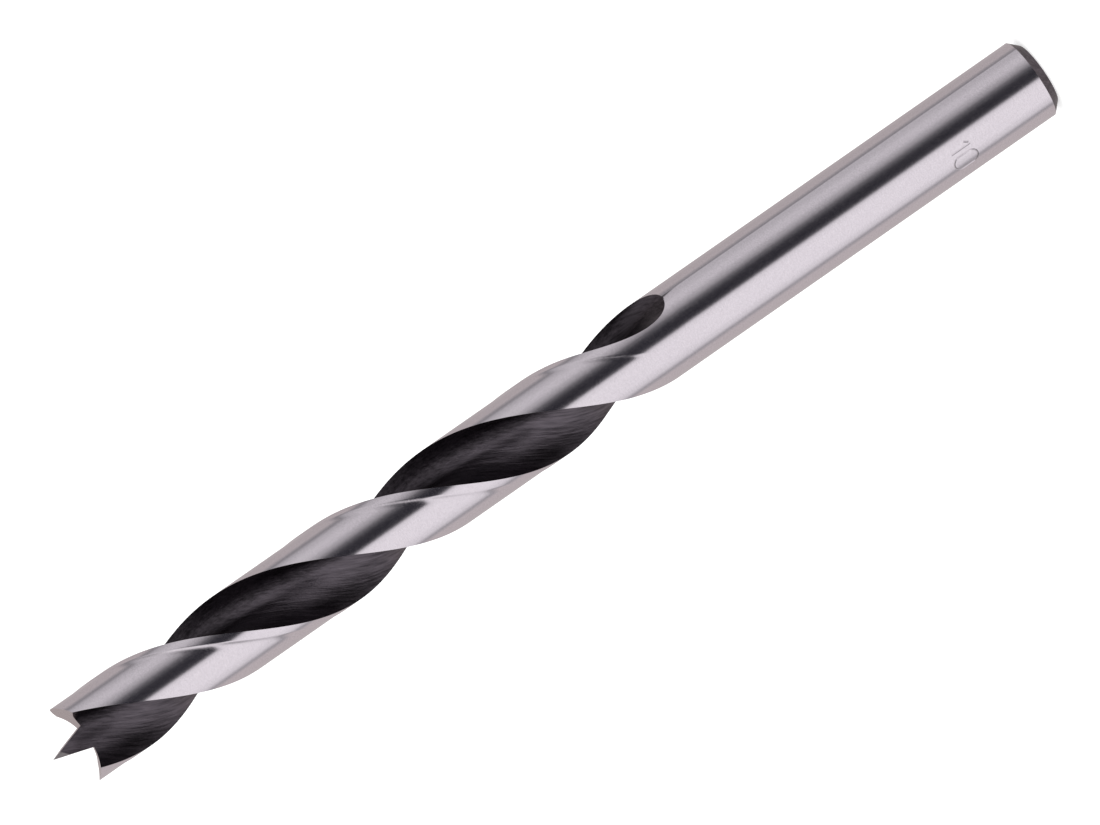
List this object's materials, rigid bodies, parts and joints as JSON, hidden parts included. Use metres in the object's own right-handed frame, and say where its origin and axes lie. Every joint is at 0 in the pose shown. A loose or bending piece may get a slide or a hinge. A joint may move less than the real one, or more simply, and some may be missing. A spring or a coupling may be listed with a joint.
{
  "type": "brad-point twist drill bit",
  "caption": "Brad-point twist drill bit for wood: plain round shank, helical flutes that run out above it, hollow-ground lips with outer spurs and a sharp centre point.",
  "frame": {"origin": "centre of the flat end of the shank, on the drill's axis", "axes": "+Z along the axis from the shank end up to the centre point; +X from one spur to the other"},
  "size_m": [0.01, 0.01, 0.138],
  "materials": {
    "ground_steel": "bright ground lands and shank, black oxide flutes and shank end"
  },
  "bodies": {
    "root": {"drill_bit": "ground_steel"}
  },
  "joints": []
}
